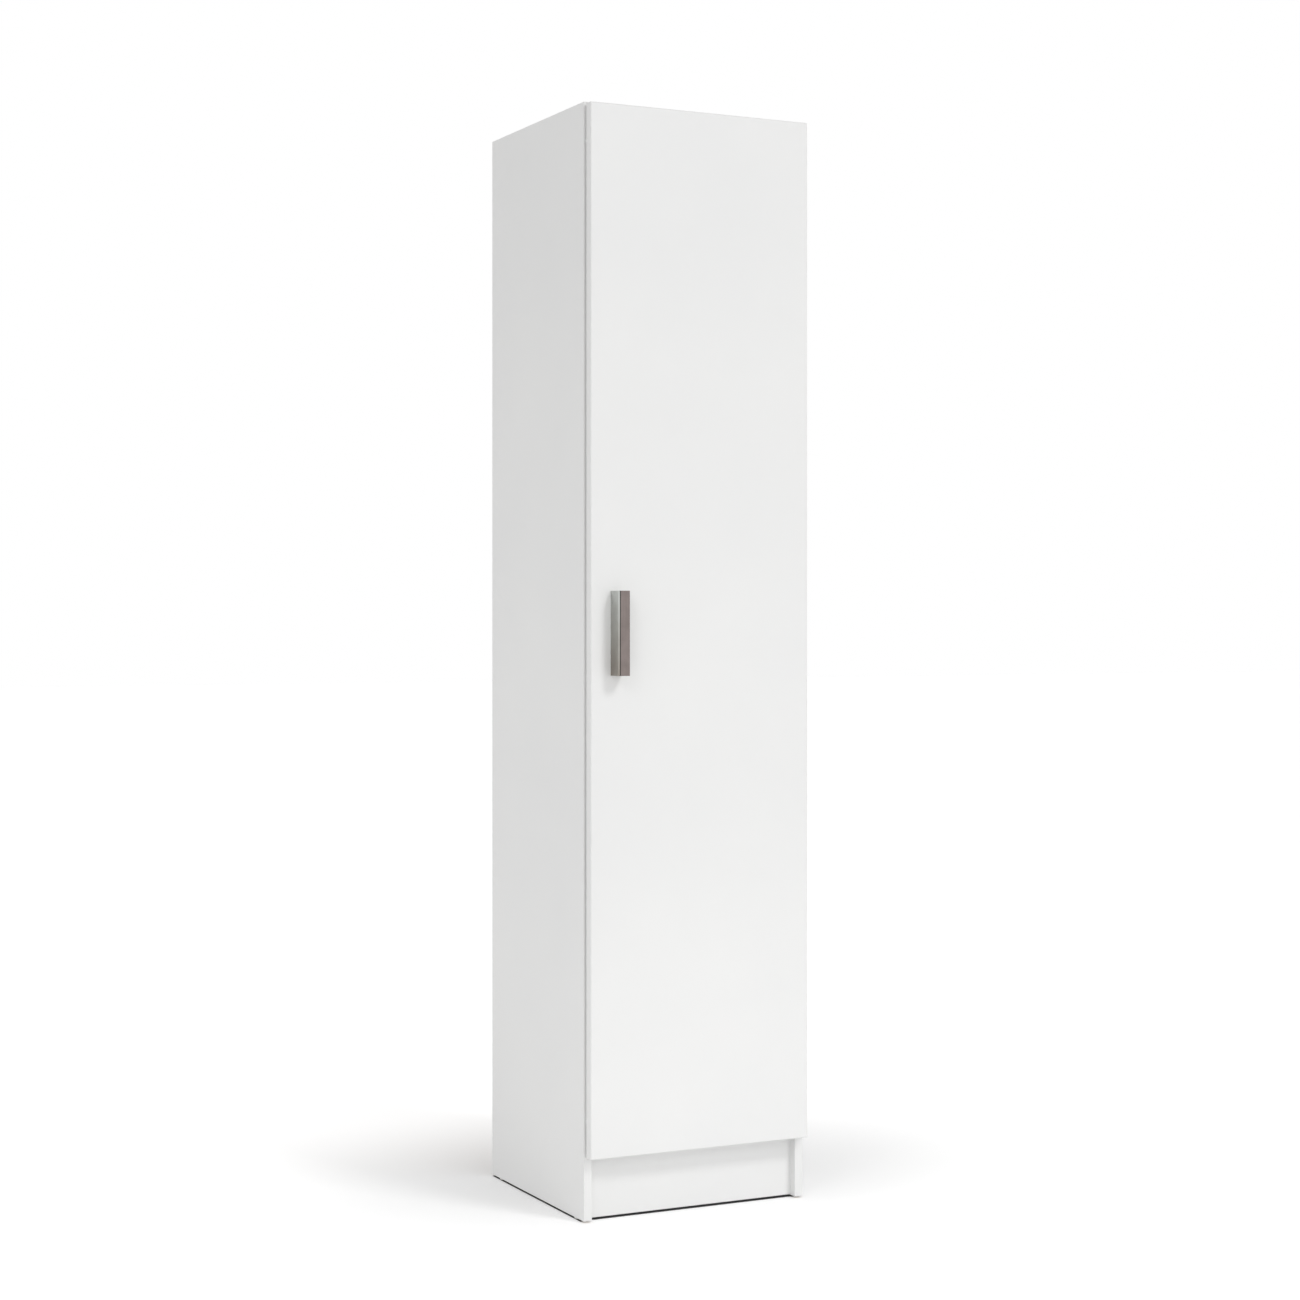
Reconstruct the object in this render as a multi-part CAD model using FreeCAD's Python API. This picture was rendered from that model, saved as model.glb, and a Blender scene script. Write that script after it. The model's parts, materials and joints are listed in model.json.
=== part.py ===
import FreeCAD, Part
import math
import os

# Broom cupboard, flat-pack, with one tall door that overlays the whole front and is hung on the
# right. The frame has +Z up, the front faces -Y, and the origin lies on the floor under the middle
# of the overall box, handle included. All sizes are in millimetres.

# ---------------------------------------------------------------- driving dimensions
# Carcass of melamine-faced chipboard
height = 1800.0
width = 404.0
side_depth = 380.0
board = 15.0
arris = 0.8
glide_height = 2.5

# Door and the strips left free round it
door_board = 18.0
door_gap = 3.0
door_reveal = 3.0
door_bottom = 105.0

# Plinth, base, shelf and back
base_underside = 107.0
plinth_recess = 15.0
plinth_clearance = 1.5
upper_room = 288.0
shelf_setback = 15.0
back_board = 3.0
groove_inset = 10.0
groove_depth = 6.0
groove_play = 0.2
back_top_play = 1.0

# Cam locks, their bolts and caps
cam_radius = 7.4
cam_play = 0.1
cam_height = 12.0
cam_seat_play = 0.5
cam_distance = 24.0
cam_front_margin = 50.0
cam_rear_margin = 70.0
cam_slot_length = 9.0
cam_slot_width = 2.0
cam_slot_depth = 3.0
cam_mouth = 7.2
bolt_thread_radius = 2.5
bolt_thread_length = 10.0
bolt_neck_radius = 1.7
bolt_head_radius = 3.0
bolt_head_length = 3.0
bolt_bore_radius = 4.0
cap_radius = 8.6
cap_height = 0.8
cap_tongue_play = 0.3
cap_tongue_length = 2.0

# Wooden dowels
dowel_radius = 4.0
dowel_in_side = 10.0
dowel_in_board = 20.0
plinth_dowel_margin = 26.0

# Plastic glides pressed into the sides' lower edges, and bumpers on the free side's front edge
glide_radius = 7.0
glide_bevel = 1.0
glide_peg_radius = 1.5
glide_peg_length = 12.0
glide_margin = 35.0
bumper_radius = 4.5
bumper_bevel = 1.0
bumper_margin = 60.0

# Steel angles that tie the top of the cupboard to a wall
bracket_leg = 26.0
bracket_width = 18.0
bracket_thickness = 2.0
bracket_bend = 1.5
bracket_corner = 3.0
bracket_spacing = 240.0
bracket_screw_reach = 17.0
wall_hole_radius = 2.5
back_hole_radius = 3.0

# Concealed cup hinge that turns on one pin: cup and pin
hinge_end_margin = 110.0
cup_radius = 17.5
cup_play = 0.1
cup_edge = 3.0
cup_depth = 12.2
cup_floor = 0.8
cup_wall = 0.7
cup_bore_play = 0.2
flange_thickness = 1.2
flange_radius = 18.8
wing_radius = 6.5
wing_spacing = 45.0
wing_offset = 9.5
cheek_gap = 8.6
cheek_thickness = 3.0
cheek_step = 2.0
cheek_reach = 25.0
pin_radius = 1.25
pin_play = 0.05
pin_edge = 6.8
pin_depth = 8.5

# Hinge arm
knuckle_wall = 1.0
arm_thickness = 2.4
arm_reach = 12.5
arm_bend = 1.2
neck_width = 7.0
arm_width = 16.0
arm_flange = 1.6
arm_flange_drop = 3.3
arm_flare_start = 4.0
arm_flare_end = 14.0
arm_end = 62.0
arm_corner = 1.5

# Hinge mounting plate, clamp screw and adjusting screw
plate_base = 2.2
plate_setback = 37.0
plate_spacing = 32.0
plate_wing_radius = 6.0
plate_screw_bite = 10.5
saddle_start = 17.0
saddle_end = 58.0
saddle_side_play = 0.2
saddle_nose = 1.2
clamp_setback = 50.0
clamp_radius = 2.9
clamp_slot_play = 0.3
clamp_slot_travel = 5.0
clamp_head_radius = 4.8
clamp_head_height = 2.6
adjuster_setback = 24.0
adjuster_radius = 2.4
adjuster_play = 0.3
adjuster_proud = 0.8

# Screws
plate_screw_radius = 2.5
plate_head_radius = 3.9
plate_head_height = 2.0
small_screw_radius = 1.6
small_screw_length = 11.0
small_head_radius = 3.3
small_head_height = 1.8

# Magnetic catch at the door's middle
catch_depth = 36.0
catch_width = 15.0
catch_waist = 26.0
catch_height = 46.0
catch_ear = 2.5
catch_ear_setback = 9.0
catch_bevel = 2.0
catch_screw_setback = 18.0
catch_screw_spacing = 36.0
catch_head_radius = 3.0
pole_thickness = 1.5
pole_spacing = 6.0
pole_height = 18.0
pole_reach = 14.0
strike_thickness = 1.5
strike_width = 13.0
strike_height = 34.0
strike_corner = 2.0
strike_screw_spacing = 26.0

# Handle: a cast channel, closed on its left, open to the right for the fingers
handle_length = 136.0
handle_width = 20.0
handle_projection = 30.0
handle_edge_distance = 35.0
handle_centre = 947.0
handle_front_wall = 4.0
handle_side_wall = 3.0
handle_end_wall = 9.0
handle_bevel = 2.2
handle_groove = 1.2
handle_round = 0.6
handle_pocket_round = 3.0
handle_screw_radius = 2.0
handle_screw_grip = 14.0
handle_head_radius = 4.2
handle_head_height = 2.4

# Small fittings come in numbers, so they and their bores have flats instead of a full round
small_flats = 8
wide_flats = 12

# ---------------------------------------------------------------- places that follow
overall_depth = side_depth + door_gap + door_board + handle_projection
rear = overall_depth / 2
front = rear - side_depth
door_back = front - door_gap
door_front = door_back - door_board
half_width = width / 2
inner_half = half_width - board
side_middle = half_width - board / 2
overlay = board - door_reveal
base_top = base_underside + board
top_underside = height - board
shelf_underside = top_underside - upper_room - board
plinth_bottom = glide_height + plinth_clearance
plinth_front = front + plinth_recess
door_top = height - door_reveal
door_middle = (door_bottom + door_top) / 2
door_half = half_width - door_reveal
groove_width = back_board + 2 * groove_play
groove_front = rear - groove_inset - groove_width
groove_rear = groove_front + groove_width
back_front = groove_front + groove_play
cam_places = [front + cam_front_margin, rear - cam_rear_margin]
dowel_place = (cam_places[0] + cam_places[1]) / 2
glide_places = [front + glide_margin, rear - glide_margin]

Vector = FreeCAD.Vector
UP = Vector(0, 0, 1)
FORWARD = Vector(0, 1, 0)
ACROSS = Vector(1, 0, 0)
LEFT_AND_RIGHT = (-1, 1)
LOW_AND_HIGH = (-1, 1)
pick = 1e-3


# ---------------------------------------------------------------- helpers
def block(x_range, y_range, z_range):
    """A box between two values on each axis."""
    size = [pair[1] - pair[0] for pair in (x_range, y_range, z_range)]
    corner = Vector(x_range[0], y_range[0], z_range[0])
    return Part.makeBox(size[0], size[1], size[2], corner)


def about(middle, size):
    """The two values that lie half a size to each side of a middle."""
    return (middle - size / 2, middle + size / 2)


def rod(start, direction, length, radius):
    """A round bar from a point along a direction."""
    return Part.makeCylinder(radius, length, start, direction)


def outline(points):
    """A flat face inside straight runs; a step given as (middle, end) is a round stretch."""
    edges = []
    here = points[0]
    for step in points[1:] + [points[0]]:
        if isinstance(step, tuple):
            edges.append(Part.Arc(here, step[0], step[1]).toShape())
            here = step[1]
        else:
            edges.append(Part.LineSegment(here, step).toShape())
            here = step
    return Part.Face(Part.Wire(edges))


def ring(radius, along, flats):
    """The corners of a regular polygon round the Z axis."""
    turns = [2 * math.pi * index / flats for index in range(flats)]
    return [Vector(radius * math.cos(turn), radius * math.sin(turn), along) for turn in turns]


def flat_face(corners):
    """A flat face between corners given in order."""
    return Part.Face(Part.makePolygon(corners + corners[:1]))


def turned(profile, start, direction, flats=small_flats):
    """A turned fitting with flats: profile lists (corner radius, distance along the axis)."""
    rings = [ring(radius, along, flats) for radius, along in profile]
    faces = [flat_face(rings[0]), flat_face(rings[-1])]
    for lower, upper in zip(rings, rings[1:]):
        for index in range(flats):
            faces.append(flat_face([lower[index - 1], lower[index], upper[index], upper[index - 1]]))
    solid = Part.Solid(Part.Shell(faces)).removeSplitter()
    solid.Placement = FreeCAD.Placement(start, FreeCAD.Rotation(UP, direction))
    return solid


def bar(start, direction, length, radius, flats=small_flats):
    """A straight bar with flats, or the hole that such a bar fills."""
    return turned([(radius, 0), (radius, length)], start, direction, flats)


def screw(seat, direction, head_radius, head_height, radius, length):
    """A screw: seat is the point under its head, direction points to the tip."""
    profile = [(head_radius, -head_height), (head_radius, 0), (radius, 0), (radius, length)]
    return turned(profile, seat, direction)


def edges_along(shape, direction, test):
    """The straight edges of a shape that run along a direction and whose middle passes a test."""
    found = []
    for edge in shape.Edges:
        span = edge.Vertexes[-1].Point - edge.Vertexes[0].Point
        along = abs(span.dot(direction))
        if span.Length > pick and abs(along - span.Length) < pick and test(edge.CenterOfMass):
            found.append(edge)
    return found


def save(node, shapes):
    """Write one node; a group of separate solids shares the file."""
    shape = shapes if isinstance(shapes, Part.Shape) else Part.makeCompound(shapes)
    shape.exportStep(os.path.join("parts", node + ".step"))
    print(node, len(shape.Solids), "solids", round(shape.Volume), "mm3")


os.makedirs("parts", exist_ok=True)

# ---------------------------------------------------------------- joints between boards
cams = []
bolts = []
dowels = []
caps = []
side_holes = {-1: [], 1: []}


def drill_side(hand, y, z, radius, depth):
    """A blind hole in a side's inner face; hand is -1 at the left side and 1 at the right."""
    side_holes[hand].append(bar(Vector(hand * inner_half, y, z), ACROSS * hand, depth, radius))


def cam_bolt(hand, y, z):
    """The bolt: thread in the side, long neck through the board's end, and head in the cam."""
    head_start = bolt_thread_length + cam_distance - bolt_head_length / 2
    profile = [
        (bolt_thread_radius, 0),
        (bolt_thread_radius, bolt_thread_length),
        (bolt_neck_radius, bolt_thread_length),
        (bolt_neck_radius, head_start),
        (bolt_head_radius, head_start),
        (bolt_head_radius, head_start + bolt_head_length),
    ]
    return turned(profile, Vector(hand * (inner_half + bolt_thread_length), y, z), ACROSS * -hand)


def cam_lock(hand, y, underside):
    """The cam: a drum open towards the side for the bolt's head, with a slot for the driver."""
    centre = Vector(hand * (inner_half - cam_distance), y, underside)
    drum = turned([(cam_radius, 0), (cam_radius, cam_height)], centre, UP, wide_flats)
    mouth = sorted([centre.x - hand * bolt_head_length, centre.x + hand * cam_radius])
    opening = block(mouth, about(y, cam_mouth), about(underside + board / 2, cam_mouth))
    slot = block(about(centre.x, cam_slot_width), about(y, cam_slot_length),
                 (underside, underside + cam_slot_depth))
    return drum.cut([opening, slot])


def cam_cap(hand, y, underside):
    """The flat cap that hides a cam, with a tongue in the cam's slot."""
    centre = Vector(hand * (inner_half - cam_distance), y, underside)
    disc = turned([(cap_radius, 0), (cap_radius - cap_height, cap_height)], centre, -UP, wide_flats)
    tongue = block(about(centre.x, cam_slot_width - cap_tongue_play),
                   about(y, cam_slot_length - cap_tongue_play),
                   (underside, underside + cap_tongue_length))
    return disc.fuse(tongue)


def fit_dowel(solid, hand, y, z):
    """A dowel between a side and a board's end, and its two holes."""
    mouth = Vector(hand * inner_half, y, z)
    start = mouth + ACROSS * hand * dowel_in_side
    dowels.append(bar(start, ACROSS * -hand, dowel_in_side + dowel_in_board, dowel_radius))
    drill_side(hand, y, z, dowel_radius, dowel_in_side)
    return solid.cut(bar(mouth, ACROSS * -hand, dowel_in_board, dowel_radius))


def fit_cam(solid, hand, y, underside):
    """A cam lock in a lying board's underside with its bolt, and their holes."""
    middle = underside + board / 2
    centre = Vector(hand * (inner_half - cam_distance), y, underside)
    cams.append(cam_lock(hand, y, underside))
    bolts.append(cam_bolt(hand, y, middle))
    drill_side(hand, y, middle, bolt_thread_radius, bolt_thread_length)
    solid = solid.cut(bar(centre, UP, cam_height + cam_seat_play, cam_radius + cam_play, wide_flats))
    mouth = Vector(hand * inner_half, y, middle)
    return solid.cut(bar(mouth, ACROSS * -hand, cam_distance, bolt_bore_radius))


def lying_board(board_front, board_back, underside, capped):
    """A board between the sides, its front arrises broken, with two cams and a dowel at each end."""
    solid = block((-inner_half, inner_half), (board_front, board_back), (underside, underside + board))
    front_edges = edges_along(solid, ACROSS, lambda c: abs(c.y - board_front) < pick)
    solid = solid.makeChamfer(arris, front_edges)
    for hand in LEFT_AND_RIGHT:
        for y in cam_places:
            solid = fit_cam(solid, hand, y, underside)
            if capped:
                caps.append(cam_cap(hand, y, underside))
        solid = fit_dowel(solid, hand, dowel_place, underside + board / 2)
    return solid


# ---------------------------------------------------------------- boards
def back_groove(z_range):
    """The groove across a lying board that takes the back."""
    return block((-inner_half, inner_half), (groove_front, groove_rear), z_range)


# Top and base reach the rear face and are grooved for the back; the shelf stops in front of it.
top_panel = lying_board(front, rear, top_underside, True)
top_panel = top_panel.cut(back_groove((top_underside, top_underside + groove_depth)))
base_panel = lying_board(front, rear, base_underside, False)
base_panel = base_panel.cut(back_groove((base_top - groove_depth, base_top)))
fixed_shelf = lying_board(front + shelf_setback, groove_front, shelf_underside, True)

# Plinth: stands on edge under the base, with two dowels at each end.
plinth = block((-inner_half, inner_half), (plinth_front, plinth_front + board),
               (plinth_bottom, base_underside))
for hand in LEFT_AND_RIGHT:
    for z in (plinth_bottom + plinth_dowel_margin, base_underside - plinth_dowel_margin):
        plinth = fit_dowel(plinth, hand, plinth_front + board / 2, z)

# Back: hardboard that slides down the grooves and stands on the bottom of the base's groove.
back_reach = inner_half + groove_depth - groove_play
back_panel = block((-back_reach, back_reach), (back_front, back_front + back_board),
                   (base_top - groove_depth, top_underside + groove_depth - back_top_play))


def side_panel(hand):
    """One side: every arris broken, a groove for the back, and the holes of all that it carries."""
    across = sorted([hand * inner_half, hand * half_width])
    solid = block(across, (front, rear), (glide_height, height))
    solid = solid.makeChamfer(arris, solid.Edges)
    groove = sorted([hand * inner_half, hand * (inner_half + groove_depth)])
    solid = solid.cut(block(groove, (groove_front, groove_rear), (glide_height, height)))
    for y in glide_places:
        spot = Vector(hand * side_middle, y, glide_height)
        solid = solid.cut(bar(spot, UP, glide_peg_length, glide_peg_radius))
    return solid.cut(Part.makeCompound(side_holes[hand]))


# ---------------------------------------------------------------- glides and bumpers
def glide(hand, y):
    """A plastic foot with a bevelled tread and a peg pressed into the side's lower edge."""
    profile = [
        (glide_radius - glide_bevel, 0),
        (glide_radius, glide_bevel),
        (glide_radius, glide_height),
    ]
    foot = turned(profile, Vector(hand * side_middle, y, 0), UP, wide_flats)
    peg = bar(Vector(hand * side_middle, y, glide_height), UP, glide_peg_length, glide_peg_radius)
    return foot.fuse(peg)


def bumper(level):
    """A soft dot on the left side's front edge that the closed door rests on."""
    profile = [
        (bumper_radius, 0),
        (bumper_radius, door_gap - bumper_bevel),
        (bumper_radius - bumper_bevel, door_gap),
    ]
    return turned(profile, Vector(-side_middle, front, level), -FORWARD, wide_flats)


# ---------------------------------------------------------------- wall angles
bracket_screw_y = back_front - bracket_screw_reach
wall_hole_z = top_underside - bracket_screw_reach


def bracket_profile():
    """Section of the angle: one leg under the top, one against the back, and a round bend."""
    outer = bracket_bend + bracket_thickness
    lean = math.sqrt(0.5)
    centre = Vector(0, back_front - outer, top_underside - outer)
    return outline([
        Vector(0, back_front - bracket_leg, top_underside),
        Vector(0, centre.y, top_underside),
        (centre + Vector(0, outer * lean, outer * lean), Vector(0, back_front, centre.z)),
        Vector(0, back_front, top_underside - bracket_leg),
        Vector(0, back_front - bracket_thickness, top_underside - bracket_leg),
        Vector(0, back_front - bracket_thickness, centre.z),
        (centre + Vector(0, bracket_bend * lean, bracket_bend * lean),
         Vector(0, centre.y, top_underside - bracket_thickness)),
        Vector(0, back_front - bracket_leg, top_underside - bracket_thickness),
    ])


def wall_bracket(hand):
    """A bent steel angle with a screw hole up into the top and a hole for the wall screw."""
    middle = hand * bracket_spacing / 2
    solid = bracket_profile().extrude(ACROSS * bracket_width)
    solid.translate(ACROSS * (middle - bracket_width / 2))
    ends = edges_along(solid, UP, lambda c: abs(c.y - (back_front - bracket_leg)) < pick)
    ends += edges_along(solid, FORWARD, lambda c: abs(c.z - (top_underside - bracket_leg)) < pick)
    solid = solid.makeChamfer(bracket_corner, ends)
    up_hole = Vector(middle, bracket_screw_y, top_underside - bracket_thickness)
    solid = solid.cut(bar(up_hole, UP, bracket_thickness, small_screw_radius))
    wall_hole = Vector(middle, back_front - bracket_thickness, wall_hole_z)
    return solid.cut(rod(wall_hole, FORWARD, bracket_thickness, wall_hole_radius))


def bracket_screw(hand):
    """The screw that holds an angle up under the top."""
    seat = Vector(hand * bracket_spacing / 2, bracket_screw_y, top_underside - bracket_thickness)
    return screw(seat, UP, small_head_radius, small_head_height, small_screw_radius, small_screw_length)


for hand in LEFT_AND_RIGHT:
    top_panel = top_panel.cut(bracket_screw(hand))
    wall_hole = Vector(hand * bracket_spacing / 2, back_front, wall_hole_z)
    back_panel = back_panel.cut(bar(wall_hole, FORWARD, back_board, back_hole_radius))

# ---------------------------------------------------------------- hinges
# Each hinge is modelled in its own frame: X runs from the right side's inner face into the
# cupboard, Y runs forward from the side's front edge, Z is up, and its middle is at Z = 0.
cup_x = cup_edge + cup_radius - overlay
wing_x = cup_x + wing_offset
pin_x = pin_edge - overlay
pin_y = door_gap + pin_depth
pin_half = cheek_gap / 2 + cheek_thickness
mouth_y = door_gap - flange_thickness
knuckle_radius = pin_radius + pin_play + knuckle_wall
arm_outer_x = pin_x + arm_reach + arm_thickness / 2
arm_inner_x = arm_outer_x - arm_thickness


def hinge_arm():
    """The arm: an eye round the pin, a swan neck out of the cup, and a channel over the plate."""
    half_neck = neck_width / 2
    half_arm = arm_width / 2
    lean = math.sqrt(0.5)
    outer_bend = arm_bend + arm_thickness
    curl_y = pin_y + knuckle_radius
    centre = Vector(arm_outer_x - outer_bend, curl_y - outer_bend, -half_neck)
    neck = outline([
        Vector(pin_x, curl_y, -half_neck),
        Vector(centre.x, curl_y, -half_neck),
        (centre + Vector(outer_bend * lean, outer_bend * lean, 0),
         Vector(arm_outer_x, centre.y, -half_neck)),
        Vector(arm_outer_x, -arm_flare_start, -half_neck),
        Vector(arm_inner_x, -arm_flare_start, -half_neck),
        Vector(arm_inner_x, centre.y, -half_neck),
        (centre + Vector(arm_bend * lean, arm_bend * lean, 0),
         Vector(centre.x, curl_y - arm_thickness, -half_neck)),
        Vector(pin_x, curl_y - arm_thickness, -half_neck),
    ]).extrude(UP * neck_width)
    eye = rod(Vector(pin_x, pin_y, -half_neck), UP, neck_width, knuckle_radius)
    web = flat_face([
        Vector(arm_inner_x, -arm_flare_start, -half_neck),
        Vector(arm_inner_x, -arm_flare_end, -half_arm),
        Vector(arm_inner_x, -arm_end, -half_arm),
        Vector(arm_inner_x, -arm_end, half_arm),
        Vector(arm_inner_x, -arm_flare_end, half_arm),
        Vector(arm_inner_x, -arm_flare_start, half_neck),
    ]).extrude(ACROSS * arm_thickness)
    arm = neck.fuse([eye, web])
    for end in LOW_AND_HIGH:
        heights = sorted([end * (half_arm - arm_flange), end * half_arm])
        flange = block((arm_inner_x - arm_flange_drop, arm_inner_x), (-arm_end, -arm_flare_end), heights)
        arm = arm.fuse(flange)
    arm = arm.removeSplitter()
    corners = edges_along(arm, ACROSS, lambda c: c.y < pick - arm_end and abs(c.z) > half_arm - pick)
    arm = arm.makeChamfer(arm_corner, corners)
    arm = arm.cut(rod(Vector(pin_x, pin_y, -half_neck), UP, neck_width, pin_radius + pin_play))
    slot_half = clamp_radius + clamp_slot_play
    slot = block((arm_inner_x, arm_outer_x), about(-clamp_setback, clamp_slot_travel + 2 * slot_half),
                 (-slot_half, slot_half))
    adjuster = Vector(arm_inner_x, -adjuster_setback, 0)
    return arm.cut([slot, bar(adjuster, ACROSS, arm_thickness, adjuster_radius)])


def hinge_plate():
    """The mounting plate: wings screwed to the side, and a saddle that fills the arm's channel."""
    wings = block((0, plate_base), about(-plate_setback, 2 * plate_wing_radius), about(0, plate_spacing))
    foot = block((0, plate_base), (-saddle_end, -saddle_start), about(0, arm_width))
    half_saddle = arm_width / 2 - arm_flange - saddle_side_play
    saddle = block((0, arm_inner_x), (-saddle_end, -saddle_start), (-half_saddle, half_saddle))
    plate = wings.fuse([foot, saddle])
    for end in LOW_AND_HIGH:
        spot = Vector(0, -plate_setback, end * plate_spacing / 2)
        plate = plate.fuse(bar(spot, ACROSS, plate_base, plate_wing_radius, wide_flats))
    plate = plate.removeSplitter()
    nose = edges_along(plate, UP, lambda c: c.x > arm_inner_x - pick and c.y > -saddle_start - pick)
    plate = plate.makeChamfer(saddle_nose, nose)
    for end in LOW_AND_HIGH:
        spot = Vector(0, -plate_setback, end * plate_spacing / 2)
        plate = plate.cut(bar(spot, ACROSS, plate_base, plate_screw_radius))
    saddle_height = arm_inner_x - plate_base
    clamp = Vector(plate_base, -clamp_setback, 0)
    adjuster = Vector(plate_base, -adjuster_setback, 0)
    return plate.cut([
        bar(clamp, ACROSS, saddle_height, clamp_radius),
        bar(adjuster, ACROSS, saddle_height, adjuster_radius + adjuster_play),
    ])


def hinge_cup():
    """The cup: a drawn shell with a flange and wings, and two cheeks that hold the pin."""
    shell = rod(Vector(cup_x, door_gap, 0), FORWARD, cup_depth, cup_radius - cup_play)
    flange = rod(Vector(cup_x, mouth_y, 0), FORWARD, flange_thickness, flange_radius)
    wings = block(about(wing_x, 2 * wing_radius), (mouth_y, door_gap), about(0, wing_spacing))
    cup = shell.fuse([flange, wings])
    for end in LOW_AND_HIGH:
        spot = Vector(wing_x, mouth_y, end * wing_spacing / 2)
        cup = cup.fuse(bar(spot, FORWARD, flange_thickness, wing_radius, wide_flats))
    hollow = rod(Vector(cup_x, mouth_y, 0), FORWARD, flange_thickness + cup_depth - cup_floor,
                 cup_radius - cup_play - cup_wall)
    cup = cup.removeSplitter().cut(hollow)
    for end in LOW_AND_HIGH:
        heights = sorted([end * cheek_gap / 2, end * pin_half])
        cheek = block((cup_x - cup_radius, cup_x - cup_radius + cheek_reach),
                      (door_gap + cheek_step, door_gap + cup_depth - cup_floor), heights)
        cup = cup.fuse(cheek.common(hollow))
    pin_hole = bar(Vector(pin_x, pin_y, -pin_half), UP, 2 * pin_half,
                   pin_radius / math.cos(math.pi / wide_flats), wide_flats)
    return cup.removeSplitter().cut([pin_hole] + [cup_screw(end) for end in LOW_AND_HIGH])


def hinge_pin():
    """The pin that crosses the cup from cheek to cheek, through the arm's eye."""
    return rod(Vector(pin_x, pin_y, -pin_half), UP, 2 * pin_half, pin_radius)


def cup_screw(end):
    """A small screw through one of the cup's wings into the door."""
    seat = Vector(wing_x, mouth_y, end * wing_spacing / 2)
    return screw(seat, FORWARD, small_head_radius, small_head_height, small_screw_radius,
                 small_screw_length)


def plate_screw(end):
    """A screw through one of the plate's wings into the side."""
    seat = Vector(plate_base, -plate_setback, end * plate_spacing / 2)
    return screw(seat, -ACROSS, plate_head_radius, plate_head_height, plate_screw_radius,
                 plate_base + plate_screw_bite)


def clamp_screw():
    """The screw through the arm's slot into the saddle."""
    return screw(Vector(arm_outer_x, -clamp_setback, 0), -ACROSS, clamp_head_radius, clamp_head_height,
                 clamp_radius, arm_outer_x - plate_base)


def adjusting_screw():
    """The grub screw in the arm that sets the door sideways; its tip bears on the plate's base."""
    start = Vector(plate_base, -adjuster_setback, 0)
    return bar(start, ACROSS, arm_outer_x + adjuster_proud - plate_base, adjuster_radius)


hinge_heights = {
    "bottom": door_bottom + hinge_end_margin,
    "middle": door_middle,
    "top": door_top - hinge_end_margin,
}
hinge_frames = {}
for name, level in hinge_heights.items():
    hinge_frames[name] = FreeCAD.Placement(Vector(inner_half, front, level), FreeCAD.Rotation(UP, 180))


def placed(shape, frame):
    """A hinge piece moved to its level on the right side."""
    shape.Placement = frame.multiply(shape.Placement)
    return shape


def at_each_hinge(make, *values):
    """One copy of a hinge piece at each level."""
    return [placed(make(*values), frame) for frame in hinge_frames.values()]


plate_screws = at_each_hinge(plate_screw, -1) + at_each_hinge(plate_screw, 1)
cup_screws = at_each_hinge(cup_screw, -1) + at_each_hinge(cup_screw, 1)
side_holes[1] += plate_screws

# ---------------------------------------------------------------- magnetic catch
catch_x = -inner_half
catch_face = door_back + strike_thickness
catch_middle = catch_x + catch_width / 2


def catch_poles():
    """Two steel pole plates that stand in the catch's mouth and meet the strike plate."""
    poles = []
    for end in LEFT_AND_RIGHT:
        middle = catch_middle + end * pole_spacing / 2
        poles.append(block(about(middle, pole_thickness), (catch_face, catch_face + pole_reach),
                           about(door_middle, pole_height)))
    return poles


def catch_screw(end):
    """A screw through one ear of the catch into the left side."""
    seat = Vector(catch_x + catch_ear, front + catch_screw_setback,
                  door_middle + end * catch_screw_spacing / 2)
    return screw(seat, -ACROSS, catch_head_radius, small_head_height, small_screw_radius,
                 small_screw_length)


def catch_housing():
    """The catch's body on the left side, with a screw ear above and below."""
    rear_y = catch_face + catch_depth
    body = block((catch_x, catch_x + catch_width), (catch_face, rear_y), about(door_middle, catch_waist))
    body_edges = edges_along(body, FORWARD, lambda c: c.x > catch_x + pick)
    body = body.makeFillet(catch_bevel, body_edges)
    ears = block((catch_x, catch_x + catch_ear), (front + catch_ear_setback, rear_y),
                 about(door_middle, catch_height))
    ears = ears.makeChamfer(catch_bevel, edges_along(ears, ACROSS, lambda c: True))
    housing = body.fuse(ears).removeSplitter()
    return housing.cut(catch_poles() + [catch_screw(end) for end in LOW_AND_HIGH])


def strike_screw(end):
    """A countersunk screw through one end of the strike plate into the door."""
    profile = [
        (small_screw_radius + strike_thickness, 0),
        (small_screw_radius, strike_thickness),
        (small_screw_radius, small_screw_length),
    ]
    seat = Vector(catch_middle, catch_face, door_middle + end * strike_screw_spacing / 2)
    return turned(profile, seat, -FORWARD)


strike_screws = [strike_screw(end) for end in LOW_AND_HIGH]
side_holes[-1] += [catch_screw(end) for end in LOW_AND_HIGH]


def strike_plate():
    """The steel plate on the door's inner face, countersunk for its two screws."""
    plate = block(about(catch_middle, strike_width), (door_back, catch_face),
                  about(door_middle, strike_height))
    plate = plate.makeChamfer(strike_corner, edges_along(plate, FORWARD, lambda c: True))
    return plate.cut(strike_screws)


# ---------------------------------------------------------------- handle
handle_left = -door_half + handle_edge_distance
handle_right = handle_left + handle_width
handle_face = door_front - handle_projection
handle_low = handle_centre - handle_length / 2
handle_high = handle_centre + handle_length / 2


def handle_screw(end):
    """A pan-head screw from inside the door into one of the handle's end walls."""
    level = handle_centre + end * (handle_length - handle_end_wall) / 2
    seat = Vector((handle_left + handle_right) / 2, door_back, level)
    return screw(seat, -FORWARD, handle_head_radius, handle_head_height, handle_screw_radius,
                 door_board + handle_screw_grip)


handle_screws = [handle_screw(end) for end in LOW_AND_HIGH]


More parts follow.
